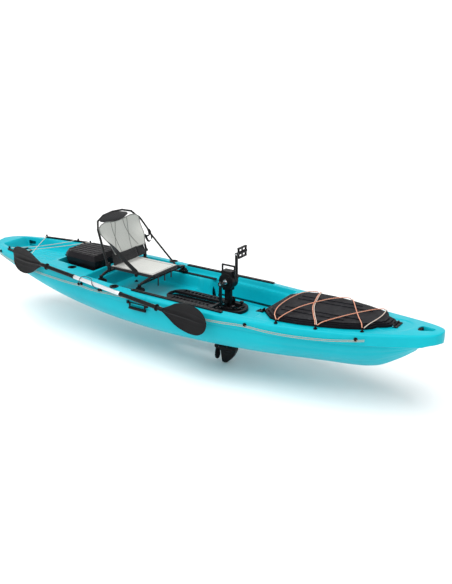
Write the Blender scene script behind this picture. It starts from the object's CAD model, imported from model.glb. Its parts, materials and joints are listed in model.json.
import math
import random

import bmesh
import bpy
import numpy as np
from mathutils import Matrix, Vector
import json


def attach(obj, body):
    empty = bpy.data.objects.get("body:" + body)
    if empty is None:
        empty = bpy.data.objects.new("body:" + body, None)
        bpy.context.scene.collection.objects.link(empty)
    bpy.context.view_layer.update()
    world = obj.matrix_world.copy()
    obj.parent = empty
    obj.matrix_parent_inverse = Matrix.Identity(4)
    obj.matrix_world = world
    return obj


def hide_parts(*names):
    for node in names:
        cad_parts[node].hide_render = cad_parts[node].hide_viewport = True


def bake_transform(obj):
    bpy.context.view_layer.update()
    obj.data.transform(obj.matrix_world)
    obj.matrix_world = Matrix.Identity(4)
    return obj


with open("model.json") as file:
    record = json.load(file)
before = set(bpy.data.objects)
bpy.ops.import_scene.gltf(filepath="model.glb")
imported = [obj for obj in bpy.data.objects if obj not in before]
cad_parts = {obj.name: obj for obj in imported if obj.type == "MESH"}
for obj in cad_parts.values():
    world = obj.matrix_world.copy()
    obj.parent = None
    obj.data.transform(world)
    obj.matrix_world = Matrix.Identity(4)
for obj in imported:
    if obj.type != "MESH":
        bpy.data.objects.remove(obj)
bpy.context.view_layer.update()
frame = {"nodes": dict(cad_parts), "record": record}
NODES = frame["nodes"]
random.seed(4)
rng = np.random.default_rng(4)
MM = 0.001

# ------------------------------------------------------------------ camera
AZ, EL, FPX = math.radians(33.482), math.radians(20.164), 775.2
cam_data = bpy.data.cameras.new("view_camera")
cam = bpy.data.objects.new("view_camera", cam_data)
bpy.context.scene.collection.objects.link(cam)
fwd = Vector((-math.sin(AZ) * math.cos(EL), math.cos(AZ) * math.cos(EL), -math.sin(EL)))
right = Vector((math.cos(AZ), math.sin(AZ), 0))
up = right.cross(fwd)
cam.matrix_world = Matrix((
    (right.x, up.x, -fwd.x, 3.2857),
    (right.y, up.y, -fwd.y, -4.4188),
    (right.z, up.z, -fwd.z, 2.2735),
    (0, 0, 0, 1)))
cam_data.sensor_width = 36
cam_data.lens = FPX / 584 * 36
cam_data.clip_start, cam_data.clip_end = 0.05, 60
bpy.context.scene.camera = cam
bpy.context.scene.view_settings.view_transform = "Standard"

# ------------------------------------------------------------------ small helpers
def link(o):
    bpy.context.scene.collection.objects.link(o)
    return o


def obj_from(name, verts, faces, mat=None, angle=38.0, smooth=True):
    me = bpy.data.meshes.new(name)
    me.from_pydata([tuple(map(float, v)) for v in verts], [], [tuple(f) for f in faces])
    me.update()
    o = link(bpy.data.objects.new(name, me))
    if mat is not None:
        me.materials.append(mat)
    if smooth:
        me.shade_smooth()
        me.set_sharp_from_angle(angle=math.radians(angle))
    return o


def fix_normals(o):
    bm = bmesh.new()
    bm.from_mesh(o.data)
    bmesh.ops.remove_doubles(bm, verts=bm.verts, dist=1e-6)
    bmesh.ops.recalc_face_normals(bm, faces=bm.faces)
    bm.to_mesh(o.data)
    bm.free()
    o.data.update()


def apply_mods(o):
    dg = bpy.context.evaluated_depsgraph_get()
    dg.update()
    me = bpy.data.meshes.new_from_object(o.evaluated_get(dg))
    old = o.data
    o.modifiers.clear()
    o.data = me
    bpy.data.meshes.remove(old)
    return o


def boolean(o, cutter, op="DIFFERENCE", solver="MANIFOLD"):
    before = len(o.data.vertices), len(o.data.polygons)
    m = o.modifiers.new("cut", "BOOLEAN")
    m.operation, m.solver, m.object = op, solver, cutter
    apply_mods(o)
    if (len(o.data.vertices), len(o.data.polygons)) == before and solver == "MANIFOLD":
        # the quick solver refused the mesh: weld stray points and use the exact one
        fix_normals(o)
        before = len(o.data.vertices), len(o.data.polygons)
        for kind in ("MANIFOLD", "EXACT"):
            m = o.modifiers.new("cut", "BOOLEAN")
            m.operation, m.solver, m.object = op, kind, cutter
            apply_mods(o)
            if (len(o.data.vertices), len(o.data.polygons)) != before:
                break
        fix_normals(o)
    bpy.data.objects.remove(cutter)
    return o


def reshade(o, angle=38.0):
    o.data.shade_smooth()
    o.data.set_sharp_from_angle(angle=math.radians(angle))


def catmull(P, n=8, closed=False):
    P = [np.array(p, float) for p in P]
    out = []
    m = len(P)
    last = m if closed else m - 1
    for i in range(last):
        p0 = P[i - 1] if (i > 0 or closed) else 2 * P[0] - P[1]
        p1, p2 = P[i], P[(i + 1) % m]
        p3 = P[(i + 2) % m] if (i + 2 < m or closed) else 2 * P[m - 1] - P[m - 2]
        for k in range(n):
            t = k / n
            out.append(0.5 * ((2 * p1) + (-p0 + p2) * t + (2 * p0 - 5 * p1 + 4 * p2 - p3) * t * t + (-p0 + 3 * p1 - 3 * p2 + p3) * t ** 3))
    if not closed:
        out.append(P[-1])
    return out


def chaikin(P, n=2):
    P = [np.array(p, float) for p in P]
    for _ in range(n):
        Q = []
        for i in range(len(P)):
            a, b = P[i], P[(i + 1) % len(P)]
            Q += [0.75 * a + 0.25 * b, 0.25 * a + 0.75 * b]
        P = Q
    return P


def frames(P):
    """Tangent, side and up at each point, with little twist."""
    P = [Vector(p) for p in P]
    T = [(P[min(i + 1, len(P) - 1)] - P[max(i - 1, 0)]).normalized() for i in range(len(P))]
    ref = Vector((0, 0, 1)) if abs(T[0].z) < 0.9 else Vector((1, 0, 0))
    s = T[0].cross(ref).normalized()
    out = []
    for t in T:
        s = (s - t * s.dot(t)).normalized()
        out.append((t, s, t.cross(s)))
    return out


def tube(name, P, r, mat, sides=16, ends=True, rr=None):
    """A closed round tube along P, with rounded ends. rr scales the radius along it."""
    P = [Vector(p) for p in P]
    F = frames(P)
    rad = [r * (rr[i] if rr is not None else 1.0) for i in range(len(P))]
    V, FA = [], []
    rings = []
    if ends:
        rings += [(P[0] - F[0][0] * r * 0.30 * math.sin(a), F[0], rad[0] * math.cos(a)) for a in (1.25, 0.85, 0.4)]
    rings += [(P[i], F[i], rad[i]) for i in range(len(P))]
    if ends:
        rings += [(P[-1] + F[-1][0] * r * 0.30 * math.sin(a), F[-1], rad[-1] * math.cos(a)) for a in (0.4, 0.85, 1.25)]
    for c, f, q in rings:
        for k in range(sides):
            a = 2 * math.pi * k / sides
            V.append(c + f[1] * (q * math.cos(a)) + f[2] * (q * math.sin(a)))
    n = len(rings)
    for i in range(n - 1):
        for k in range(sides):
            a, b = i * sides + k, i * sides + (k + 1) % sides
            FA.append((a, b, b + sides, a + sides))
    FA.append(tuple(range(sides - 1, -1, -1)))
    FA.append(tuple(range((n - 1) * sides, n * sides)))
    o = obj_from(name, V, FA, mat, 50)
    fix_normals(o)
    reshade(o, 50)
    return o


def strap(name, P, width, thick, mat, side=None, n=8):
    """A flat strap along P with rounded edges: side is the direction across its width."""
    C = [Vector(p) for p in catmull(P, n)]
    F = frames(C)
    V, FA = [], []
    prof = [(-.5, -.25), (-.47, -.5), (.47, -.5), (.5, -.25), (.5, .25), (.47, .5), (-.47, .5), (-.5, .25)]
    for i, c in enumerate(C):
        t = F[i][0]
        s = F[i][1] if side is None else (Vector(side) - t * Vector(side).dot(t)).normalized()
        u = t.cross(s)
        for a, b in prof:
            V.append(c + s * (a * width) + u * (b * thick))
    m = len(prof)
    for i in range(len(C) - 1):
        for k in range(m):
            a, b = i * m + k, i * m + (k + 1) % m
            FA.append((a, b, b + m, a + m))
    FA.append(tuple(range(m - 1, -1, -1)))
    FA.append(tuple(range((len(C) - 1) * m, len(C) * m)))
    o = obj_from(name, V, FA, mat, 40)
    fix_normals(o)
    reshade(o, 40)
    return o


def rbox(name, lo, hi, mat, r=0.003, seg=3, matrix=None):
    """A box with rounded edges between two corners."""
    bm = bmesh.new()
    bmesh.ops.create_cube(bm, size=1.0)
    lo, hi = Vector(lo), Vector(hi)
    for v in bm.verts:
        v.co = Vector(((v.co.x + .5) * (hi.x - lo.x) + lo.x, (v.co.y + .5) * (hi.y - lo.y) + lo.y, (v.co.z + .5) * (hi.z - lo.z) + lo.z))
    r = min(r, 0.45 * min(hi - lo))
    bmesh.ops.bevel(bm, geom=list(bm.edges), offset=r, segments=seg, affect="EDGES", profile=0.5)
    if matrix is not None:
        bm.transform(matrix)
    bmesh.ops.recalc_face_normals(bm, faces=bm.faces)
    me = bpy.data.meshes.new(name)
    bm.to_mesh(me)
    bm.free()
    o = link(bpy.data.objects.new(name, me))
    if mat is not None:
        me.materials.append(mat)
    reshade(o, 40)
    return o


def lathe(name, prof, mat, matrix, n=40, angle=38):
    """prof is [(radius, height)], turned about local Z and placed by matrix."""
    V, FA = [], []
    for r, z in prof:
        for k in range(n):
            a = 2 * math.pi * k / n
            V.append(matrix @ Vector((r * math.cos(a), r * math.sin(a), z)))
    m = len(prof)
    for i in range(m - 1):
        for k in range(n):
            a, b = i * n + k, i * n + (k + 1) % n
            FA.append((a, b, b + n, a + n))
    FA.append(tuple(range(n - 1, -1, -1)))
    FA.append(tuple(range((m - 1) * n, m * n)))
    o = obj_from(name, V, FA, mat, angle)
    fix_normals(o)
    reshade(o, angle)
    return o


def prism(name, pts, z0, z1, mat=None, matrix=None, cap=0.0):
    """An upright prism over a polygon, in the given frame."""
    n = len(pts)
    V = [(p[0], p[1], z0) for p in pts] + [(p[0], p[1], z1) for p in pts]
    if matrix is not None:
        V = [matrix @ Vector(v) for v in V]
    FA = [tuple(range(n - 1, -1, -1)), tuple(range(n, 2 * n))] + [(i, (i + 1) % n, n + (i + 1) % n, n + i) for i in range(n)]
    o = obj_from(name, V, FA, mat, 38)
    fix_normals(o)
    reshade(o)
    return o


def capsule_cut(name, a, b, r, sx=1.0):
    """A stretched ball between two points, for moulded recesses."""
    bm = bmesh.new()
    for p in (a, b):
        res = bmesh.ops.create_uvsphere(bm, u_segments=32, v_segments=20, radius=r)
        for v in res["verts"]:
            v.co = Vector((v.co.x, v.co.y * sx, v.co.z)) + Vector(p)
    out = bmesh.ops.convex_hull(bm, input=bm.verts)
    bmesh.ops.delete(bm, geom=[g for g in out["geom_interior"] + out["geom_unused"] if isinstance(g, bmesh.types.BMVert)], context="VERTS")
    me = bpy.data.meshes.new(name)
    bmesh.ops.recalc_face_normals(bm, faces=bm.faces)
    bm.to_mesh(me)
    bm.free()
    return link(bpy.data.objects.new(name, me))


def cyl_cut(name, c, r, z0, z1, n=40, ry=None):
    pts = [(c[0] + r * math.cos(2 * math.pi * k / n), c[1] + (ry or r) * math.sin(2 * math.pi * k / n)) for k in range(n)]
    return prism(name, pts, z0, z1)


# ------------------------------------------------------------------ materials
class Mat:
    """A node material: coordinates are the object's own metres."""

    def __init__(self, name):
        self.m = bpy.data.materials.new(name)
        self.m.use_nodes = True
        self.nt = self.m.node_tree
        self.nt.nodes.clear()
        self.out = self.n("ShaderNodeOutputMaterial")
        self.b = self.n("ShaderNodeBsdfPrincipled")
        self.l(self.b.outputs[0], self.out.inputs[0])
        self.tc = self.n("ShaderNodeTexCoord")
        self.co = self.tc.outputs["Object"]

    def n(self, t, **k):
        x = self.nt.nodes.new(t)
        for a, v in k.items():
            setattr(x, a, v)
        return x

    def l(self, a, b):
        self.nt.links.new(a, b)

    def set(self, **k):
        for a, v in k.items():
            s = self.b.inputs[a.replace("_", " ")]
            s.default_value = (*v, 1.0) if isinstance(v, (tuple, list)) and len(v) == 3 else v
        return self

    def scaled(self, sx, sy, sz, rot=(0, 0, 0)):
        q = self.n("ShaderNodeMapping")
        q.inputs["Scale"].default_value = (sx, sy, sz)
        q.inputs["Rotation"].default_value = rot
        self.l(self.co, q.inputs["Vector"])
        return q.outputs[0]

    def noise(self, scale, detail=3.0, rough=0.5, vec=None, dist=0.0):
        q = self.n("ShaderNodeTexNoise")
        q.inputs["Scale"].default_value = scale
        q.inputs["Detail"].default_value = detail
        q.inputs["Roughness"].default_value = rough
        q.inputs["Distortion"].default_value = dist
        self.l(vec if vec is not None else self.co, q.inputs["Vector"])
        return q.outputs["Fac"]

    def wave(self, scale, direction="X", vec=None, dist=0.0):
        q = self.n("ShaderNodeTexWave", wave_type="BANDS", bands_direction=direction)
        q.inputs["Scale"].default_value = scale
        q.inputs["Distortion"].default_value = dist
        self.l(vec if vec is not None else self.co, q.inputs["Vector"])
        return q.outputs["Fac"]

    def ramp(self, fac, stops):
        q = self.n("ShaderNodeValToRGB")
        e = q.color_ramp.elements
        while len(e) < len(stops):
            e.new(0.5)
        for i, (p, c) in enumerate(stops):
            e[i].position = p
            e[i].color = (*c, 1.0) if len(c) == 3 else c
        self.l(fac, q.inputs[0])
        return q.outputs[0]

    def rng(self, fac, a, b, lo=0.0, hi=1.0):
        q = self.n("ShaderNodeMapRange")
        q.inputs["From Min"].default_value, q.inputs["From Max"].default_value = lo, hi
        q.inputs["To Min"].default_value, q.inputs["To Max"].default_value = a, b
        self.l(fac, q.inputs["Value"])
        return q.outputs[0]

    def mix(self, fac, a, b, mode="MIX"):
        q = self.n("ShaderNodeMix", data_type="RGBA", blend_type=mode)
        if isinstance(fac, (int, float)):
            q.inputs[0].default_value = fac
        else:
            self.l(fac, q.inputs[0])
        for s, v in ((q.inputs[6], a), (q.inputs[7], b)):
            if isinstance(v, (tuple, list)):
                s.default_value = (*v, 1.0)
            else:
                self.l(v, s)
        return q.outputs[2]

    def math(self, op, a, b=0.0):
        q = self.n("ShaderNodeMath", operation=op)
        for s, v in ((q.inputs[0], a), (q.inputs[1], b)):
            if isinstance(v, (int, float)):
                s.default_value = v
            else:
                self.l(v, s)
        return q.outputs[0]

    def bump(self, *layers):
        """layers of (height, strength, distance)."""
        prev = None
        for h, s, d in layers:
            q = self.n("ShaderNodeBump")
            q.inputs["Strength"].default_value = s
            q.inputs["Distance"].default_value = d
            self.l(h, q.inputs["Height"])
            if prev is not None:
                self.l(prev, q.inputs["Normal"])
            prev = q.outputs[0]
        self.l(prev, self.b.inputs["Normal"])
        return self

    def color(self, c):
        self.l(c, self.b.inputs["Base Color"])
        return self

    def roughness(self, r):
        self.l(r, self.b.inputs["Roughness"])
        return self


def moulded(name, a, b, rough=(0.36, 0.5), grain=900, spec=0.12, wavy=0.0, speck=0.35):
    """Moulded plastic: two close shades, fine grain, uneven polish and light scuffs."""
    m = Mat(name)
    big = m.noise(4.0, 3)
    fine = m.noise(grain, 2)
    c = m.ramp(big, [(0.34, a), (0.66, b)])
    c = m.mix(m.rng(fine, 0.0, speck, 0.35, 0.75), c, tuple(min(1.0, x * 1.35 + 0.004) for x in b))
    scuff = m.noise(60, 5, 0.7, m.scaled(1, 6, 3))
    c = m.mix(m.rng(scuff, 0.0, 0.22, 0.60, 0.80), c, tuple(min(1.0, x * 1.25 + 0.02) for x in b))
    m.color(c)
    m.roughness(m.rng(m.math("ADD", m.noise(23, 4, 0.6), m.math("MULTIPLY", scuff, 0.4)), rough[0], rough[1], 0.35, 1.05))
    m.set(Specular_IOR_Level=spec)
    layers = [(fine, 0.16, 0.0006)]
    if wavy:
        layers.append((m.noise(11, 2), wavy, 0.004))
    return m.bump(*layers)


def hull_mat():
    m = Mat("hull_polyethylene")
    big = m.noise(1.7, 3, 0.55)
    fine = m.noise(620, 3, 0.6)
    mid = m.noise(26, 4, 0.6)
    c = m.ramp(big, [(0.30, (0.001, 0.380, 0.470)), (0.70, (0.002, 0.460, 0.550))])
    c = m.mix(m.rng(mid, 0.0, 0.22, 0.45, 0.75), c, (0.008, 0.500, 0.590))
    c = m.mix(m.rng(fine, 0.0, 0.30, 0.52, 0.78), c, (0.001, 0.290, 0.370))
    # fine handling marks along the boat
    marks = m.noise(34, 6, 0.75, m.scaled(0.8, 7, 7))
    c = m.mix(m.rng(marks, 0.0, 0.20, 0.66, 0.80), c, (0.05, 0.56, 0.62))
    m.color(c)
    m.roughness(m.rng(m.math("ADD", m.noise(9, 4, 0.6), m.math("MULTIPLY", marks, 0.5)), 0.30, 0.46, 0.4, 1.1))
    m.set(Specular_IOR_Level=0.15)
    return m.bump((fine, 0.10, 0.0005), (m.noise(7, 2), 0.10, 0.006)).m


def metal(name, base, rough=(0.25, 0.42), metallic=1.0, grain=(4, 300, 300)):
    m = Mat(name)
    st = m.noise(1.0, 4, 0.6, m.scaled(*grain))
    c = m.mix(m.rng(st, 0, 0.6, 0.35, 0.7), base, tuple(x * 0.82 for x in base))
    m.color(c)
    m.roughness(m.rng(st, rough[0], rough[1], 0.3, 0.7))
    m.set(Metallic=metallic)
    return m.bump((st, 0.08, 0.0003)).m


def weave(name, base, dark, across="Y", along="Z", pitch=0.0022, sheen=0.25, rough=0.8, contrast=0.6, bump=0.5):
    """Woven cloth: two sets of threads over and under each other."""
    m = Mat(name)
    k = 1.0 / pitch / math.pi / 2 * math.pi
    wa = m.wave(k / 3.14159, across, dist=0.0)
    wb = m.wave(k / 3.14159, along, dist=0.0)
    th = m.math("MULTIPLY", wa, wb)
    blot = m.noise(7, 3)
    c = m.mix(m.rng(th, 0.0, contrast, 0.05, 0.75), dark, base)
    c = m.mix(m.rng(blot, 0.0, 0.35, 0.4, 0.75), c, tuple(x * 0.86 for x in base))
    fuzz = m.noise(700, 2)
    c = m.mix(m.rng(fuzz, 0.0, 0.25, 0.5, 0.8), c, tuple(min(1.0, x * 1.12) for x in base))
    m.color(c)
    m.roughness(m.rng(fuzz, rough - 0.06, rough + 0.08))
    m.set(Sheen_Weight=sheen, Sheen_Roughness=0.5, Specular_IOR_Level=0.25)
    return m.bump((th, bump, 0.0008), (m.noise(40, 3), 0.12, 0.002)).m


def cord_mat(name, a, b, rough=0.75, scale=520):
    m = Mat(name)
    fleck = m.noise(scale * 0.5, 2, 0.5, m.scaled(1, 1, 1.6))
    br = m.wave(scale * 0.45, "DIAGONAL", dist=1.5)
    c = m.mix(m.rng(fleck, 0.0, 1.0, 0.50, 0.58), a, b)
    c = m.mix(m.rng(br, 0.0, 0.35, 0.3, 0.9), c, tuple(x * 0.72 for x in a))
    m.color(c)
    m.roughness(m.rng(fleck, rough - 0.08, rough + 0.1))
    m.set(Sheen_Weight=0.2, Specular_IOR_Level=0.25)
    return m.bump((br, 0.5, 0.0006)).m


M_HULL = hull_mat()
M_BLACK = moulded("black_moulding", (0.0045, 0.0045, 0.0055), (0.008, 0.008, 0.009), (0.34, 0.50)).m
M_DARK = moulded("charcoal_moulding", (0.006, 0.006, 0.0075), (0.010, 0.010, 0.012), (0.36, 0.52)).m
M_LID = moulded("hatch_moulding", (0.004, 0.0042, 0.006), (0.008, 0.0083, 0.011), (0.40, 0.56), spec=0.07, wavy=0.08).m
M_BOX = moulded("box_moulding", (0.005, 0.0045, 0.006), (0.009, 0.008, 0.010), (0.30, 0.44), wavy=0.05).m
M_BLADE = moulded("blade_nylon", (0.004, 0.004, 0.0045), (0.007, 0.007, 0.008), (0.28, 0.42), grain=1500).m
M_POWDER = moulded("powder_coat", (0.004, 0.004, 0.0045), (0.007, 0.007, 0.0075), (0.28, 0.38), grain=1800, spec=0.3).m
M_RUBBER = moulded("soft_rubber", (0.006, 0.006, 0.006), (0.010, 0.010, 0.010), (0.62, 0.80), grain=700, spec=0.18).m
M_GREY = moulded("grey_cover", (0.040, 0.042, 0.048), (0.060, 0.062, 0.070), (0.34, 0.5)).m
M_STEEL = metal("stainless", (0.62, 0.63, 0.65), (0.22, 0.36))
M_ALU = metal("paddle_alloy", (0.80, 0.81, 0.83), (0.30, 0.42), grain=(3, 500, 500))
M_BRONZE = metal("bronze_bush", (0.55, 0.38, 0.16), (0.30, 0.45))
M_MESH = weave("sling_mesh", (0.74, 0.75, 0.71), (0.46, 0.47, 0.44), "Y", "Z", 0.0042, 0.3, 0.82, 0.75)
M_MESHB = weave("sling_mesh_base", (0.78, 0.79, 0.75), (0.50, 0.51, 0.48), "X", "Y", 0.0042, 0.3, 0.82, 0.75)
M_NYLON = weave("black_nylon", (0.008, 0.0085, 0.012), (0.003, 0.003, 0.004), "Y", "Z", 0.0018, 0.25, 0.72, 0.8)
M_PIPING = weave("edge_binding", (0.014, 0.014, 0.016), (0.007, 0.007, 0.008), "Y", "X", 0.0016, 0.2, 0.75, 0.8)
M_WEB = weave("webbing", (0.007, 0.007, 0.008), (0.003, 0.003, 0.0035), "X", "Z", 0.0020, 0.2, 0.70, 0.9)
M_SEAM = weave("seam_thread", (0.30, 0.31, 0.29), (0.17, 0.17, 0.16), "Y", "Z", 0.0024, 0.2, 0.85, 0.8)
M_ORANGE = cord_mat("shock_cord_salmon", (0.80, 0.25, 0.13), (0.86, 0.62, 0.46))
M_PALE = cord_mat("shock_cord_pale", (0.72, 0.66, 0.58), (0.78, 0.42, 0.28))
M_LINE = cord_mat("deck_line_braid", (0.44, 0.28, 0.18), (0.56, 0.48, 0.38))
M_ELASTIC = cord_mat("keeper_elastic", (0.014, 0.014, 0.015), (0.05, 0.05, 0.055))

BY_SLOT = {"hull_teal": M_HULL, "black_plastic": M_BLACK, "dark_plastic": M_DARK, "black_metal": M_POWDER, "steel": M_STEEL, "bronze": M_BRONZE,
           "rubber": M_RUBBER, "seat_mesh": M_MESH, "black_fabric": M_NYLON, "webbing": M_WEB, "orange_cord": M_ORANGE, "pale_cord": M_PALE, "deck_cord": M_LINE}
SLOT = {s["node"]: s["material_slot"] for s in frame["record"]["subparts"]}
OWN = {"hatch_lid": M_LID, "storage_tub": M_BOX, "storage_lid": M_BOX, "paddle": M_BLADE, "scupper_plugs": M_DARK}
# edge softening of each CAD piece, in mm: what a moulded or turned edge has
EDGE = {"storage_lid": 3.0, "storage_tub": 2.0, "hatch_lid": 2.2, "drive_base": 1.6, "drive_well_liner": 1.8, "head_port_half": 3.0, "head_starboard_half": 3.0,
        "leg_port_half": 3.0, "leg_starboard_half": 3.0, "crank_arm_port": 3.0, "crank_arm_starboard": 3.0, "pedal_port": 1.6, "pedal_starboard": 1.6,
        "seat_feet": 2.0, "gear_track_port": 0.8, "gear_track_starboard": 0.8, "rear_rails": 1.6, "seat_rails": 0.8, "base_knobs": 1.2, "propeller": 1.2,
        "rod_holders": 1.2, "hatch_strap": 0.8, "tankwell_handle": 1.5}
for name, o in NODES.items():
    mat = OWN.get(name, BY_SLOT[SLOT[name]])
    if not o.material_slots:
        o.data.materials.append(mat)
    for s in o.material_slots:
        s.material = mat
    w = EDGE.get(name, 0.5)
    we = o.modifiers.new("weld", "WELD")
    we.merge_threshold = 0.00001
    be = o.modifiers.new("edge", "BEVEL")
    be.width, be.segments, be.limit_method, be.angle_limit = w * MM, 3 if w > 1.5 else 2, "ANGLE", math.radians(40)
    be.use_clamp_overlap = True
    be.harden_normals = False
    wn = o.modifiers.new("normals", "WEIGHTED_NORMAL")
    wn.keep_sharp = False

# ------------------------------------------------------------------ the hull
HB = [[-1980, 14], [-1973, 62], [-1950, 106], [-1900, 150], [-1800, 200], [-1600, 262], [-1300, 325], [-900, 377], [-400, 410], [0, 415], [400, 404], [800, 370], [1200, 312], [1500, 248], [1750, 172], [1880, 120], [1950, 74], [1974, 38], [1980, 12]]
GW = [[-1980, 362], [-1400, 356], [-700, 340], [0, 325], [700, 326], [1400, 348], [1980, 390]]
KL = [[-1980, 292], [-1930, 268], [-1850, 232], [-1700, 180], [-1500, 122], [-1200, 62], [-800, 22], [-300, 3], [0, 0], [900, 0], [1250, 18], [1450, 34], [1560, 58], [1700, 138], [1800, 215], [1870, 278], [1900, 300], [1980, 316]]
FL = [[-1980, 1.3], [-1200, 2.0], [-300, 2.9], [0, 3.0], [700, 2.3], [1100, 1.75], [1500, 1.5], [1980, 1.2]]


def tab(T, x):
    x = np.asarray(x, float)
    T = np.array(T, float)
    n = len(T)
    d = np.diff(T[:, 1]) / np.diff(T[:, 0])
    s = np.zeros(n)
    s[0], s[-1] = d[0], d[-1]
    for i in range(1, n - 1):
        a, b = d[i - 1], d[i]
        s[i] = 0 if a * b <= 0 else 2 * a * b / (a + b)
    i = np.clip(np.searchsorted(T[:, 0], x, side="right") - 1, 0, n - 2)
    h = T[i + 1, 0] - T[i, 0]
    u = (x - T[i, 0]) / h
    return (2 * u**3 - 3 * u * u + 1) * T[i, 1] + (u**3 - 2 * u * u + u) * h * s[i] + (3 * u * u - 2 * u**3) * T[i + 1, 1] + (u**3 - u * u) * h * s[i + 1]


def sm(a, b, v):
    u = np.clip((v - a) / (b - a), 0, 1)
    return u * u * (3 - 2 * u)


def mixf(a, b, t):
    return a + (b - a) * t


def band(a0, a1, b0, b1, v):
    return sm(a0, a1, v) * (1 - sm(b0, b1, v))


def zg(x):
    return tab(GW, x)


def bm_(x):
    return tab(HB, x)


def deck(x, v, o=0.0, looks=False):
    z = zg(x) + 5 * (1 - (v / 415) ** 2) - 6 * sm(360, 415, v)
    z = mixf(z, 290, band(-722 - o, -700 - o, 735 + o, 800 + o, x) * (1 - sm(326 + o, 340 + o, v)))
    e = sm(40, 120, x)
    z = mixf(z, 205, band(-692 - o, -668 - o, 690 + o, 755 + o, x) * (1 - sm(222 + 63 * e + o, 244 + 62 * e + o, v)))
    z = mixf(z, 158, band(-60 - o, 0 - o, 630 + o, 690 + o, x) * band(150 - o, 185 - o, 225 + 63 * e + o, 262 + 40 * e + o, v))
    z = mixf(z, 290, band(-1862 - o, -1800 - o, -1200 + o, -1165 + o, x) * (1 - sm(262 + o, 300 + o, v)))
    z = mixf(z, 215, band(-1150 - o, -1136 - o, -752 + o, -738 + o, x) * (1 - sm(206 + o, 222 + o, v)))
    if looks:
        # shallow moulded details: bow crescent, tank-well floor ribs, footwell treads, side-deck panels
        y = v * bm_(x) / 415
        q = np.sqrt(((x - 1650) / 128.0) ** 2 + (y / 112.0) ** 2)
        z = z - 5.0 * (1 - sm(0.93, 1.04, q)) * sm(1480, 1600, x)
        tank = band(-1790, -1770, -1235, -1215, x) * (1 - sm(236, 250, v))
        z = z + 4.5 * tank * (0.5 - 0.5 * np.cos(2 * np.pi * np.clip((v - 20) / 62.0, 0, 4))) * (v > 20) * (v < 206)
        tread = band(40, 60, 600, 620, x) * band(196, 206, 268, 280, v)
        z = z + 2.2 * tread * (sm(0.3, 0.6, np.sin(2 * np.pi * x / 46.0)))
        panel = band(-330, -318, -236, -224, x) + band(-1120, -1108, -700, -690, x) + band(600, 612, 880, 900, x)
        z = z - 1.6 * np.clip(panel, 0, 1) * band(338, 346, 392, 402, v)
    return z - o


def refine(base, edges, n=6):
    s = set(base)
    for a, b in edges:
        s |= set(np.linspace(a, b, n + 1))
    s = sorted(s)
    out = [s[0]]
    for v in s[1:]:
        if v - out[-1] > 1.2:
            out.append(v)
    return np.array(out)


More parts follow.
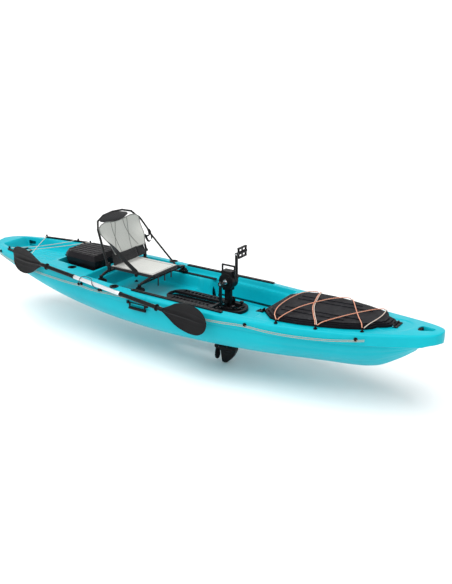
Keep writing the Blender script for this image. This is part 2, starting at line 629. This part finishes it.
def hull_mesh(name, o, X, looks=True):
    X = np.asarray(X, float)
    b = bm_(X) - o
    k = tab(KL, X) + o
    zr = np.maximum(zg(X) - 85 + (6 if o > 0 else 0), k + 4)
    bs = np.maximum(b - (10 + 12 * sm(300, 1900, X)), b * 0.6)
    n = tab(FL, X)
    ring_y, ring_z = [], []
    NB = 34 if looks else 10
    for i in range(1, NB + 1):
        t = math.pi / 2 * i / NB
        y = bs * math.sin(t) ** (2 / n)
        z = zr - (zr - k) * math.cos(t) ** (2 / n)
        if looks:
            # moulded chine line along the bow quarter and a soft keel line
            f = (z - k) / np.maximum(zr - k, 1)
            amp = sm(500, 1100, X) * (1 - sm(1800, 1930, X)) + 0.5 * (1 - sm(-1700, -1100, X)) * sm(-1930, -1800, X)
            y = y - 5.0 * amp * (1 - sm(0.36, 0.44, f)) * sm(0.06, 0.16, f)
            y = y - 3.0 * amp * band(0.66, 0.70, 0.74, 0.84, f)
        ring_y.append(y)
        ring_z.append(z)
    zt = deck(X, 398.0, o, looks)
    if looks:
        for dy, dz in ((0.4, 0.6), (4.0, 2.2), (7.5, 4.0)):
            ring_y.append(np.minimum(bs + (b - bs) * dy / 10, b))
            ring_z.append(zr + dz)
        ring_y.append(b)
        ring_z.append(np.maximum(zr + 9, zr + 0.1 * (zt - zr)))
        ring_y.append(b + 0.8 * (X * 0 + 1) * (b > 60))
        ring_z.append(zr + 0.45 * (zt - zr))
        ring_y.append(b + 0.3 * (b > 60))
        ring_z.append(np.maximum(zr + 10, zt - 22))
        h = np.minimum(16.0, (zt - zr) * 0.5)
        a = b * 17 / 415
        for ph in np.linspace(0, math.pi / 2, 7)[:-1]:
            ring_y.append(b - a + a * math.cos(ph))
            ring_z.append(zt - h + h * math.sin(ph))
        V = refine(np.concatenate([np.arange(0, 180, 10), np.arange(180, 350, 4.5), np.arange(350, 399, 8)]),
                   [(206, 222), (222, 244), (285, 306), (262, 300), (326, 340), (150, 185)], 6)[::-1]
        V = V[V <= 398]
        if V[0] < 397.5:
            V = np.concatenate([[398], V])
    else:
        ring_y += [b - 2, b, b - 5]
        ring_z += [zr + 4, np.maximum(zr + 8, deck(X, 415.0, o) - 12), deck(X, 412.0, o)]
        V = np.array([388, 346, 332, 322, 312, 301, 291, 280, 268, 250, 239, 228, 220, 212, 185, 150, 110, 80, 40.0, 0])
    for v in V:
        ring_y.append(np.minimum(b - (0 if looks else 6), b * v / 415))
        ring_z.append(deck(X, v, o, looks))
    Y, Z = np.array(ring_y), np.array(ring_z)
    m, nx = Y.shape
    # ring: keel centre, starboard... both halves
    top = m - 1 if abs(V[-1]) < 1e-9 else None
    cols = [(0 * X, k)] + [(Y[i], Z[i]) for i in range(m)] + [(-Y[i], Z[i]) for i in range(m - 2 if top is not None else m - 1, -1, -1)]
    P = np.zeros((nx, len(cols), 3))
    for j, (y, z) in enumerate(cols):
        P[:, j, 0], P[:, j, 1], P[:, j, 2] = X, y, z
    c = len(cols)
    F = [(i * c + j, i * c + (j + 1) % c, (i + 1) * c + (j + 1) % c, (i + 1) * c + j) for i in range(nx - 1) for j in range(c)]
    F.append(tuple(range(c - 1, -1, -1)))
    F.append(tuple(range((nx - 1) * c, nx * c)))
    ob = obj_from(name, (P * MM).reshape(-1, 3), F, None, smooth=False)
    bm = bmesh.new()
    bm.from_mesh(ob.data)
    bmesh.ops.recalc_face_normals(bm, faces=bm.faces)
    bmesh.ops.triangulate(bm, faces=[f for f in bm.faces if len(f.verts) > 4])
    bm.to_mesh(ob.data)
    bm.free()
    return ob


EDGES_X = [(-1862, -1800), (-1200, -1165), (-1150, -1136), (-752, -738), (-722, -700), (-692, -668), (-60, 0), (40, 120), (630, 690), (690, 755), (735, 800), (-1980, -1950), (1950, 1980)]
step = 14
XO = refine(np.arange(-1980, 1981, step), EDGES_X, 6)
XO[0], XO[-1] = -1980, 1980
hull = hull_mesh("hull_visual", 0.0, XO)
inner = hull_mesh("hull_cavity", 6.0, refine(np.arange(-1900, 1781, 40), EDGES_X[:-2], 3)[1:], looks=False)
SLOT_H = 45
boolean(inner, prism("cut", [(-.152, -.052), (.512, -.052), (.512, .052), (-.152, .052)], -.03, .37))
for x, y in ((-560, 90), (-560, -90), (600, 95), (600, -95)):
    boolean(inner, cyl_cut("cut", (x * MM, y * MM), .017, -.03, .37, 20))
RODS = [(-935, 240, 170), (-390, 365, 94), (-935, -240, 170), (-390, -365, 94)]
for x, y, d in RODS:
    z = float(zg(x))
    boolean(inner, cyl_cut("cut", (x * MM, y * MM), .034, (z - 12) * MM, (z + 60) * MM, 24))
boolean(hull, inner)


def capsule_pts(a, b, r, n=24):
    """Stadium outline from (a, 0) to (b, 0)."""
    return [(b + r * math.cos(t), r * math.sin(t)) for t in np.linspace(-math.pi / 2, math.pi / 2, n)] + [(a + r * math.cos(t), r * math.sin(t)) for t in np.linspace(math.pi / 2, 1.5 * math.pi, n)]


boolean(hull, prism("cut", [(x * MM, y * MM) for x, y in capsule_pts(-95, 455, 45)], -.02, .28))
# nose hole, with softened lips above and below
def egg(g):
    L = [(1834 + (20 + g) * math.cos(t), (40 + g) * math.sin(t)) for t in np.linspace(math.pi / 2, 1.5 * math.pi, 24)]
    R = [(1900 + (15 + g) * math.cos(t), (15 + g) * math.sin(t)) for t in np.linspace(-math.pi / 2, math.pi / 2, 16)]
    return [(x * MM, y * MM) for x, y in R + L]


boolean(hull, prism("cut", egg(0), .2, .44))
for i, g in enumerate((2.0, 4.5, 8.0)):
    zt = float(zg(1868)) + 5
    lip = prism("cut", egg(g), (zt - 6.0 + 2.4 * i) * MM, (zt + 30) * MM)
    boolean(hull, lip)
for s in (1, -1):
    boolean(hull, capsule_cut("cut", (-.168, s * .418, .318), (-.072, s * .418, .318), .024, 0.8))
    y0, y1 = [float(bm_(x)) * 295.5 / 415 - 9.5 for x in (450, 620)]
    boolean(hull, capsule_cut("cut", (.45, s * y0 * MM, .247), (.62, s * y1 * MM, .247), .012))
boolean(hull, capsule_cut("cut", (-.725, -.06, (float(zg(-725)) + 17) * MM), (-.725, .06, (float(zg(-725)) + 17) * MM), .014))
for x, y in ((-560, 90), (-560, -90), (600, 95), (600, -95)):
    boolean(hull, cyl_cut("cut", (x * MM, y * MM), .0115, -.03, .27, 28))
for x, y, d in RODS:
    z = float(zg(x))
    boolean(hull, cyl_cut("cut", (x * MM, y * MM), .0252, (z - d - 7) * MM, (z + 30) * MM, 40))
    boolean(hull, cyl_cut("cut", (x * MM, y * MM), .0352, (z - 2) * MM, (z + 30) * MM, 40))
for s in (-1, 1):
    boolean(hull, prism("cut", [(-.652, s * .275 - .015), (.092, s * .275 - .015), (.092, s * .275 + .015), (-.652, s * .275 + .015)], .2902, .35))


def gun_matrix(x0, x1, y0, y1, dz):
    z0, z1 = float(zg(x0)), float(zg(x1))
    return Matrix.Translation((x0 * MM, y0 * MM, (z0 + dz) * MM)) @ Matrix.Rotation(math.atan((y1 - y0) / (x1 - x0)), 4, "Z") @ Matrix.Rotation(-math.atan((z1 - z0) / (x1 - x0)), 4, "Y")


# OpenSCAD turns about Y first, then about Z
def slab(m, x0, y0, dx, dy):
    return prism("cut", [(x0 * MM, y0 * MM), ((x0 + dx) * MM, y0 * MM), ((x0 + dx) * MM, (y0 + dy) * MM), (x0 * MM, (y0 + dy) * MM)], 0, .04, None, m)


for s in (-1, 1):
    boolean(hull, slab(gun_matrix(-232, 556, s * 350, s * 352, -1), -2, -13, 798, 26))
    boolean(hull, slab(gun_matrix(-1690, -1270, s * 214, s * 302, -1), -2, -12, 436, 24))
HA = math.atan((float(zg(1640)) - float(zg(840))) / 800)
HZ = (float(zg(1640)) + float(zg(840))) / 2 + 1
HM = Matrix.Translation((1.240, 0, HZ * MM)) @ Matrix.Rotation(-HA, 4, "Y")
LID = [[-442, 0], [-442, 180], [-402, 222], [-345, 276], [-285, 292], [-140, 282], [10, 255], [160, 214], [280, 168], [322, 138], [342, 92], [392, 66], [414, 40], [414, 0]]


def lid_outline(s, g=0.0):
    H = [(p[0] * s + ((g if p[0] > 0 else -g) if abs(p[0]) > 400 else 0), p[1] * s + g if p[1] > 0 else 0) for p in LID]
    return [(a * MM, b * MM) for a, b in H] + [(H[i][0] * MM, -H[i][1] * MM) for i in range(len(H) - 2, 0, -1)]


boolean(hull, prism("cut", lid_outline(1, 4), 0, .08, None, HM))
boolean(hull, prism("cut", [(.40, -.06), (.46, -.06), (.46, .06), (.40, .06)], 0, .12, None, HM))
boolean(hull, prism("cut", lid_outline(0.78), -.09, .03, None, HM))
for x, y in ((965, 320), (1235, 282), (1520, 196)):
    for s in (1, -1):
        boolean(hull, cyl_cut("cut", (x * MM, s * y * MM), .015, (float(zg(x)) - 1) * MM, (float(zg(x)) + 39) * MM, 28))
hull.data.materials.clear()
hull.data.materials.append(M_HULL)
hull.data.materials.append(M_DARK)
for p in hull.data.polygons:
    c = p.center
    inside = abs(c.y) < .0462 and -.1415 < c.x < .5015 and c.z < .2040 and abs(p.normal.z) < .7
    p.material_index = 1 if inside else 0
reshade(hull, 32)
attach(hull, "kayak")
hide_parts("hull_shell")


def smooth(a, b, v):
    u = min(1.0, max(0.0, (v - a) / (b - a)))
    return u * u * (3 - 2 * u)


def sheet_grid(name, fn, nu, nv, thick, mat, sharp=50):
    """A thin closed sheet or pad: fn(u, v) gives its middle surface and thick(u, v) its thickness."""
    P = np.array([[fn(i / nu, j / nv) for j in range(nv + 1)] for i in range(nu + 1)], float)
    N = np.cross(np.gradient(P, axis=0), np.gradient(P, axis=1))
    N /= np.linalg.norm(N, axis=2, keepdims=True) + 1e-12
    T = np.array([[thick(i / nu, j / nv) if callable(thick) else thick for j in range(nv + 1)] for i in range(nu + 1)])[..., None]
    V = list((P + N * T / 2).reshape(-1, 3)) + list((P - N * T / 2).reshape(-1, 3))
    m, k = nv + 1, (nu + 1) * (nv + 1)
    F = []
    for i in range(nu):
        for j in range(nv):
            a = i * m + j
            F += [(a, a + m, a + m + 1, a + 1), (k + a, k + a + 1, k + a + m + 1, k + a + m)]
    rim = [i * m for i in range(nu)] + [nu * m + j for j in range(nv)] + [i * m + nv for i in range(nu, 0, -1)] + [j for j in range(nv, 0, -1)]
    for i in range(len(rim)):
        a, b = rim[i], rim[(i + 1) % len(rim)]
        F.append((a, b, k + b, k + a))
    o = obj_from(name, V, F, mat, sharp)
    fix_normals(o)
    reshade(o, sharp)
    return o


def sheet_area(fn, nu, nv):
    P = np.array([[fn(i / nu, j / nv) for j in range(nv + 1)] for i in range(nu + 1)], float)
    a = np.cross(P[1:, :-1] - P[:-1, :-1], P[:-1, 1:] - P[:-1, :-1])
    b = np.cross(P[1:, 1:] - P[1:, :-1], P[1:, 1:] - P[:-1, 1:])
    return float((np.linalg.norm(a, axis=2).sum() + np.linalg.norm(b, axis=2).sum()) / 2)


BF = Matrix.Translation((-.565, 0, .432)) @ Matrix.Rotation(math.radians(-16), 4, "Y")


def bf(x, y, w):
    return tuple(BF @ Vector((x * MM, y * MM, w * MM)))


# backrest mesh: laced to the tubes above, drawn forward at its lower sides
def back_half(w):
    return float(np.interp(w, [60, 105, 145, 198, 250, 300], [176, 190, 201, 218, 231, 231]))


def back_pt(u, v, off=0.0):
    s = 2 * u - 1
    w0 = 60 + 240 * v
    y = s * back_half(w0)
    top = float(np.interp(abs(y), [0, 60, 150, 200, 232], [-2, 2, 12, 3, -17]))
    w = w0 + v ** 4 * top - 6 * (1 - abs(s)) * (1 - v) ** 6
    x = 10 + 44 * abs(s) ** 3 * (1 - smooth(120, 250, w)) - 11 * (1 - s * s) * math.sin(math.pi * min(1, v)) + 0.7 * math.sin(9 * s + 5 * v) * (1 - s * s)
    return bf(x + off, y, w)


back = sheet_grid("backrest_mesh", back_pt, 64, 44, .0026, M_MESH)
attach(back, "seat_back")
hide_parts("back_mesh")
edge = []
for i in range(45):
    edge.append(back_pt(0, i / 44))
for i in range(1, 65):
    edge.append(back_pt(i / 64, 1))
for i in range(43, -1, -1):
    edge.append(back_pt(1, i / 44))
hem = tube("backrest_mesh_hem", edge, .0040, M_SEAM, 10)
low_hem = tube("backrest_mesh_low_hem", [back_pt(i / 40, 0) for i in range(41)], .0036, M_SEAM, 10)
pieces = [hem, low_hem]
for sy in (-1, 1):
    for k, (a, b) in enumerate((((.5 + sy * .20), (.5 + sy * .17)), ((.5 + sy * .10), (.5 + sy * .36)))):
        pts = [back_pt(a + (b - a) * (t if k == 0 else t ** 1.7), .985 - t * (.965 if k == 0 else .93), 2.2) for t in np.linspace(0, 1, 22)]
        pieces.append(strap("backrest_seam_%d_%d" % (sy, k), pts, .0052, .0012, M_SEAM, (0, 1, 0), 2))
for o in pieces:
    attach(o, "seat_back")
round(sheet_area(back_pt, 64, 44), 4)


# lens-shaped headrest pad between the mesh and the arched tube
def lens_pt(u, v):
    s = 2 * u - 1
    y = 158 * s
    lo, hi = 300 + 27 * s * s, 367 - 30 * s * s
    w = lo + (hi - lo) * v
    x = 12 - 30 * smooth(300, 372, w)
    return bf(x, y - 30, w)


def lens_th(u, v):
    s = 2 * u - 1
    return .0030 + .0085 * max(0, 1 - abs(s) ** 3) * max(0, 1 - abs(2 * v - 1) ** 3)


lens = sheet_grid("headrest_pad", lens_pt, 44, 12, lens_th, M_NYLON)
lens_pipe = tube("headrest_piping", [lens_pt(i / 44, 0) for i in range(45)] + [lens_pt(i / 44, 1) for i in range(43, 0, -1)] + [lens_pt(0, 0)], .0028, M_PIPING, 8)
for o in (lens, lens_pipe):
    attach(o, "seat_back")


# lumbar pad
def lum_pt(u, v):
    s = 2 * u - 1
    w = -20 + (84 - 10 * (1 - s * s)) * v + 3 * s * s
    return bf(20 + 7 * abs(s) ** 3 - 3 * (1 - s * s), s * (192 - 14 * v), w)


def lum_th(u, v):
    s = 2 * u - 1
    t = .004 + .015 * max(0, 1 - abs(s) ** 7) * max(0, 1 - abs(2 * v - 1) ** 4)
    for c in (-.52, .52):
        t *= 1 - .42 * math.exp(-((s - c) / .028) ** 2)
    return t * (1 - .30 * math.exp(-((v - .5) / .05) ** 2) * (abs(s) < .52))


lum = sheet_grid("lumbar_pad", lum_pt, 72, 20, lum_th, M_NYLON)
lum_pipe = tube("lumbar_piping", [lum_pt(i / 44, 1) for i in range(45)] + [lum_pt(1, 1 - i / 8) for i in range(1, 9)] + [lum_pt(1 - i / 44, 0) for i in range(1, 45)] + [lum_pt(0, i / 8) for i in range(1, 9)], .0033, M_PIPING, 8)
for o in (lum, lum_pipe):
    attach(o, "seat_back")
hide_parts("lumbar_panel")


# seat base: a sling between sleeves round the four tubes
def pan_pt(u, v):
    x = -.600 + .402 * u
    s = 2 * v - 1
    sag = .013 * (1 - s ** 4) * (1 - (2 * u - 1) ** 4)
    ripple = .0006 * math.sin(16 * s + 7 * u) * abs(s) * (1 - abs(s) ** 6)
    return (x, .150 * s, .3942 - sag + ripple)


pan = sheet_grid("seat_base_mesh", pan_pt, 56, 44, .0026, M_MESHB)
sleeves = [tube("seat_sleeve_side_%d" % s, [(-.592 + .386 * t, s * .150, .382) for t in np.linspace(0, 1, 24)], .0122, M_NYLON, 24) for s in (-1, 1)]
sleeves += [tube("seat_sleeve_end_%d" % i, [(x, -.140 + .280 * t, .382) for t in np.linspace(0, 1, 20)], .0122, M_NYLON, 24) for i, x in enumerate((-.600, -.198))]
loop = [(-.583, -.133), (-.215, -.133), (-.215, .133), (-.583, .133), (-.583, -.133)]
for i in range(4):
    a, b = loop[i], loop[i + 1]
    q = []
    for t in np.linspace(0, 1, 16):
        x, y = a[0] + (b[0] - a[0]) * t, a[1] + (b[1] - a[1]) * t
        z = pan_pt((x + .600) / .402, (y / .150 + 1) / 2)[2]
        q.append((x, y, z + .0018))
    sleeves.append(strap("seat_base_seam_%d" % i, q, .0050, .0011, M_SEAM, (b[1] - a[1], a[0] - b[0], 0), 2))
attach(pan, "seat")
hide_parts("seat_mesh")
for o in sleeves:
    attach(o, "seat")
round(min(.1206, sheet_area(pan_pt, 56, 44)), 4)

# straps: broad and flat on the near side, narrow with a buckle on the far side
def wing(sy):
    E = [Vector(back_pt(0 if sy < 0 else 1, t)) for t in np.linspace(.10, .52, 12)]
    c = Vector(back_pt(0 if sy < 0 else 1, .30)) + Vector((.058, sy * .001, -.036))
    d = Vector((.61, 0, .79)) * .020
    S = [c + d * (2 * t - 1) for t in np.linspace(0, 1, 12)]

    def f(u, v):
        k = v * 11
        i = min(10, int(k))
        a = E[i].lerp(E[i + 1], k - i)
        b = S[i].lerp(S[i + 1], k - i)
        p = a.lerp(b, u)
        return (p.x, p.y - sy * .004 * math.sin(math.pi * u), p.z)
    o = sheet_grid("backrest_wing_%d" % sy, f, 10, 11, .0030, M_NYLON)
    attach(o, "seat_back")
    return c


cn = wing(-1)
for sy, c in ((-1, cn),):
    e = Vector((-.346, sy * .1615, .3975))
    P = [c + Vector((-.012, 0, .009)), c.lerp(e, .35) + Vector((0, sy * .002, -.003)), c.lerp(e, .72) + Vector((0, sy * .002, -.002)), e,
         Vector((-.340, sy * .1650, .385)), Vector((-.338, sy * .1630, .3715)), Vector((-.338, sy * .1500, .3672)), Vector((-.338, sy * .1385, .3700))]
    st = strap("backrest_strap_%s" % ("near" if sy < 0 else "far"), P, .038, .0022, M_WEB, (.61, 0, .79), 6)
    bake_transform(st)
top = Vector(bf(0, 244, 268))
P = [top + Vector((-.004, -.012, .010)), top + Vector((.004, .008, -.004)), Vector((-.556, .2530, .604)), Vector((-.530, .2500, .573)), Vector((-.380, .2120, .478)), Vector((-.245, .1700, .404)),
     Vector((-.225, .1655, .385)), Vector((-.222, .1540, .3685)), Vector((-.222, .140, .3695))]
st = strap("backrest_side_strap", P, .018, .0020, M_WEB, (.61, 0, .79), 6)
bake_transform(st)
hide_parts("seat_straps")
tt = Vector((.026, -.003, -.031)).normalized()
bz = Matrix.Translation((-.543, .2530, .589)) @ tt.to_track_quat("X", "Y").to_matrix().to_4x4()
for k, q in enumerate((((-.017, -.0035, -.0125), (.017, .0045, -.0085)), ((-.017, -.0035, .0085), (.017, .0045, .0125)), ((-.017, -.0035, -.0125), (-.011, .0045, .0125)), ((.011, -.0035, -.0125), (.017, .0045, .0125)), ((-.003, -.0045, -.0125), (.003, .0055, .0125)))):
    o = rbox("strap_buckle_%d" % k, q[0], q[1], M_BLACK, .0014, 2, bz)
    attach(o, "seat_back")
# loose tail of the side strap
tail = strap("strap_tail", [(-.548, .256, .583), (-.552, .262, .560), (-.566, .258, .545), (-.585, .246, .547)], .018, .0018, M_WEB, (.6, 0, .8), 6)
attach(tail, "seat_back")
# loop from the buckle back to the side of the mesh
lp = strap("strap_loop", [(-.541, .2545, .578), (-.527, .2600, .553), (-.530, .2560, .523), (-.548, .2440, .507), tuple(Vector(back_pt(1, .30)) + Vector((.004, .002, 0)))], .018, .0018, M_WEB, (.6, 0, .8), 6)
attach(lp, "seat_back")
# clamp knobs and cheeks at the feet
for sy in (-1, 1):
    for x in (-.600, -.225):
        kn = lathe("foot_knob", [(.0001, 0), (.0125, .0004), (.0145, .003), (.0145, .010), (.0120, .013), (.0001, .0136)], M_BLACK, Matrix.Translation((x + .020, sy * .259, .3085)) @ Matrix.Rotation(sy * math.pi / 2, 4, "X"), 24)
        ck = rbox("foot_cheek", (x - .026, sy * .275 - .0185, .3002), (x + .026, sy * .275 + .0185, .3200), M_BLACK, .004, 3)
        cl = lathe("foot_collar", [(.0100, 0), (.0135, .001), (.0145, .005), (.0145, .014), (.0120, .018), (.0085, .019)], M_BLACK, Matrix.Translation((x, sy * .272, .334)), 28)
        for o in (kn, ck, cl):
            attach(o, "seat")
    for a, b in (((-.600, .154, .378), (-.600, .272, .346)), ((-.205, .154, .378), (-.225, .272, .346))):
        A, B = Vector((a[0], sy * a[1], a[2])), Vector((b[0], sy * b[1], b[2]))
        o = tube("strut_sleeve", [A.lerp(B, t) for t in (.18, .4, .62, .84)], .0108, M_POWDER, 24)
        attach(o, "seat")
# web ends hanging under the front of the seat
for k, (x, y, z0, z1) in enumerate(((-.198, -.100, .372, .300), (-.198, -.020, .372, .318), (-.198, .060, .372, .322))):
    o = strap("seat_web_end_%d" % k, [(x + .013, y, z0 + .010), (x + .0155, y, z0 - .004), (x + .013, y + .002, z0 - .03), (x + .017, y - .003, z1)], .016, .0016, M_WEB, (0, 1, 0), 5)
    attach(o, "seat")


# cords follow the CAD routes
def lid_z(x):
    return (float(zg(1640)) + float(zg(840))) / 2 + 33 + (x - 1240) * math.tan(HA)


HB = [
    [[962, -309, -13], [946, -292, -7], [915, -248, 1], [885, -160, 9], [868, -40, 9], [868, 80, 9], [885, 190, 7], [920, 262, 1], [946, 292, -6], [958, 306, -12]],
    [[974, -309, -12], [976, -288, -5], [990, -220, 7], [1020, -90, 15], [1070, 40, 15], [1130, 150, 15], [1185, 222, 9], [1222, 256, 1], [1231, 271, -14]],
    [[1226, -271, -14], [1213, -248, 0], [1168, -180, 9], [1090, -40, 9], [1040, 100, 9], [1008, 205, 7], [985, 282, -4], [974, 309, -12]],
    [[1244, -271, -14], [1268, -238, 2], [1330, -130, 9], [1400, 0, 9], [1460, 90, 9], [1496, 142, 5], [1513, 168, -1], [1517, 184, -13]],
    [[1513, -184, -13], [1492, -150, 5], [1440, -80, 15], [1380, 20, 15], [1310, 140, 15], [1262, 222, 7], [1244, 271, -14]],
    [[1526, -184, -13], [1542, -140, 4], [1556, -70, 9], [1560, 20, 9], [1550, 100, 8], [1536, 150, 3], [1528, 184, -13]]]
TB = [
    [[-1662, -200, 378], [-1640, -170, 373], [-1560, -40, 362], [-1480, 90, 362], [-1400, 215, 370], [-1378, 256, 378]],
    [[-1555, -234, 379], [-1543, -222, 378], [-1480, -140, 374], [-1400, -20, 374], [-1320, 110, 374], [-1262, 220, 374], [-1244, 274, 374]],
    [[-1662, 200, 380], [-1640, 170, 382], [-1560, 40, 384], [-1480, -90, 384], [-1400, -215, 383], [-1378, -256, 379]]]
DL = [[-1796, -214, 318], [-1740, -238, 309], [-1600, -275, 300], [-1400, -317, 292], [-1200, -352, 290], [-1000, -378, 290], [-820, -398, 292], [-700, -414, 300], [-600, -414, 290], [-484, -424, 293], [-380, -425, 298], [-260, -425, 301], [-120, -427, 302], [20, -428, 300], [160, -430, 288], [300, -428, 279], [560, -408, 282], [752, -388, 290], [900, -372, 282], [1050, -350, 279], [1200, -326, 285], [1350, -296, 296], [1494, -265, 316], [1560, -247, 326]]
PK = [[-690, -418, 306], [-684, -430, 322], [-674, -432, 350], [-660, -424, 370], [-636, -410, 375], [-600, -408, 372], [-572, -412, 368], [-552, -428, 364], [-540, -442, 346], [-520, -440, 322], [-500, -432, 306], [-484, -421, 299]]


def rope(name, P, d, mat, body, node=None, n=6):
    C = catmull([np.array(p, float) * MM for p in P], n)
    o = tube(name, C, d / 2, mat, 10)
    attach(o, body)
    if node:
        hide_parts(node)
    return o


for i, P in enumerate(HB):
    rope("hatch_cord_%d" % i, [[p[0], p[1], lid_z(p[0]) + p[2]] for p in P], .0062, M_PALE if i == 5 else M_ORANGE, "front_hatch", node="hatch_bungee" if i == 0 else None)
rope("hatch_cord_pale", [[p[0] + 9, p[1] + 2, lid_z(p[0]) + p[2] + .3] for p in HB[2]], .0055, M_PALE, "front_hatch")
for i, P in enumerate(TB):
    rope("tankwell_cord_%d" % i, P, .005, M_PALE, "kayak", node="tankwell_bungee" if i == 0 else None)
rope("deck_line_upper", DL, .0036, M_LINE, "kayak", node="deck_line_starboard")
rope("deck_line_lower", [[p[0] + 3, p[1] - 6, p[2] - 7] for p in DL], .0036, M_LINE, "kayak")
rope("paddle_keeper_cord", PK, .005, M_ELASTIC, "kayak", node="paddle_keeper")
for p in (PK[0], PK[-1]):
    o = lathe("keeper_toggle", [(.0001, -.011), (.0065, -.0105), (.0085, -.006), (.0085, .004), (.006, .0095), (.0001, .011)], M_BLACK, Matrix.Translation((p[0] * MM, (p[1] - 11) * MM, (p[2] + 6) * MM)) @ Matrix.Rotation(.5, 4, "X"), 24)
    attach(o, "kayak")

# paddle
PF = Matrix.Translation((-.756, -.413, .354)) @ Matrix.Rotation(math.radians(-3.4), 4, "Z") @ Matrix.Rotation(math.radians(3.81), 4, "Y")


def pl(x, y=0.0, z=0.0):
    return tuple(PF @ Vector((x * MM, y * MM, z * MM)))


def pad_piece(o, node=None):
    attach(o, "kayak")
    if node:
        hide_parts(node)
    return o


pad_piece(tube("paddle_shaft_alloy", [pl(x) for x in np.linspace(2, 498, 12)], .0149, M_ALU, 32), "paddle")
pad_piece(tube("paddle_shaft_left", [pl(x) for x in np.linspace(-368, 4, 10)], .0151, M_BLADE, 32))
pad_piece(tube("paddle_shaft_right", [pl(x) for x in np.linspace(496, 905, 10)], .0151, M_BLADE, 32))
for x in (2, 498):
    pad_piece(lathe("paddle_ferrule", [(.0148, -.010), (.0166, -.009), (.0172, -.004), (.0172, .004), (.0166, .009), (.0148, .010)], M_BLADE, PF @ Matrix.Translation((x * MM, 0, 0)) @ Matrix.Rotation(math.pi / 2, 4, "Y"), 36))
for x, s in ((-294, -1), (842, 1)):
    pad_piece(lathe("drip_ring", [(.0148, -.007), (.019, -.0065), (.0200, -.003), (.0255, .001), (.0258, .005), (.0240, .0062), (.0205, .002), (.0185, .004), (.0148, .0055)], M_RUBBER, PF @ Matrix.Translation((x * MM, 0, 0)) @ Matrix.Rotation(s * math.pi / 2, 4, "Y"), 40))
UP = [(0, 12), (60, 44), (130, 88), (220, 112), (300, 108), (350, 84), (376, 50), (386, 14)]
LOW = [(0, -12), (60, -42), (130, -78), (220, -98), (310, -96), (360, -70), (382, -38), (387, -8)]
US = catmull([np.array(p, float) for p in UP], 6)
LS = catmull([np.array(p, float) for p in LOW], 6)


def blade_fn(x0, d):
    def f(u, v):
        k = u * (len(US) - 1)
        i = min(len(US) - 2, int(k))
        a = US[i] + (US[i + 1] - US[i]) * (k - i)
        b = LS[i] + (LS[i + 1] - LS[i]) * (k - i)
        q = b + (a - b) * v
        spoon = -9 * (2 * v - 1) ** 2 * math.sin(math.pi * min(1, .15 + .8 * u)) + 7 * u * u
        x, z = float(q[0]), float(q[1])
        if d < 0:
            x, z = -.9 * x, -z - 12 * min(1, x / 200)
        return pl(x0 + x, spoon, z)
    return f


def blade_th(u, v):
    z = (2 * v - 1) * (30 + 180 * min(1, u * 2.2)) / 2
    edge_ = .0042
    rib = .0200 * math.exp(-(z / 9.0) ** 2) * max(0.0, 1 - u * 1.25) ** .8
    side = .0022 * sum(math.exp(-((v - c) / .03) ** 2) for c in (.30, .70)) * smooth(.18, .3, u) * (1 - smooth(.72, .86, u))
    return edge_ + rib + side


for x0, d in ((-355, -1), (896, 1)):
    pad_piece(sheet_grid("paddle_blade_%s" % ("left" if d < 0 else "right"), blade_fn(x0, d), 60, 48, blade_th, M_BLADE, 35))

# latches on the front of the storage box
for y in (-.095, .095):
    for k, q in enumerate((((-.7525, y - .021, .3480), (-.7462, y + .021, .4010), .0022), ((-.7475, y - .013, .3440), (-.7425, y + .013, .3600), .0020), ((-.7480, y - .018, .3900), (-.7440, y + .018, .3965), .0018))):
        o = rbox("box_latch_%d" % k, q[0], q[1], M_BLACK, q[2], 3)
        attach(o, "storage_cover")

# ------------------------------------------------------------------ floor, light, finish
fl = obj_from("floor", [(-70, -70, -.2335), (70, -70, -.2335), (70, 70, -.2335), (-70, 70, -.2335)], [(0, 1, 2, 3)], None, smooth=False)
fm = Mat("pale_floor")
fm.color(fm.ramp(fm.noise(0.6, 2), [(0.3, (0.93, 0.93, 0.93)), (0.7, (0.95, 0.95, 0.95))]))
fm.set(Roughness=0.85, Specular_IOR_Level=0.2)
fl.data.materials.append(fm.m)
world = bpy.data.worlds.new("studio")
bpy.context.scene.world = world
world.use_nodes = True
world.node_tree.nodes["Background"].inputs[0].default_value = (1.0, 1.0, 1.0, 1.0)
world.node_tree.nodes["Background"].inputs[1].default_value = 0.62


def area(name, loc, target, size, power, color=(1, 1, 1)):
    d = bpy.data.lights.new(name, "AREA")
    d.shape, d.size, d.energy, d.color = "DISK", size, power, color
    o = link(bpy.data.objects.new(name, d))
    o.location = loc
    o.rotation_mode = "QUATERNION"
    o.rotation_quaternion = (Vector(target) - Vector(loc)).to_track_quat("-Z", "Y")
    return o


area("key_left", (-2.6, -4.2, 3.4), (0, 0, 0.2), 2.4, 25)
sun = bpy.data.lights.new("overhead", "SUN")
sun.energy, sun.angle = 2.35, 0.9
so = link(bpy.data.objects.new("overhead", sun))
so.rotation_mode = "QUATERNION"
so.rotation_quaternion = Vector((.05, .45, -1)).to_track_quat("-Z", "Y")
# a far pale backdrop, upright behind the floor
bd = obj_from("backdrop", [(-65, -9, -.3), (34, 57, -.3), (34, 57, 45), (-65, -9, 45)], [(0, 1, 2, 3)], None, smooth=False)
bd.data.materials.append(fm.m)

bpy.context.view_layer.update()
import json
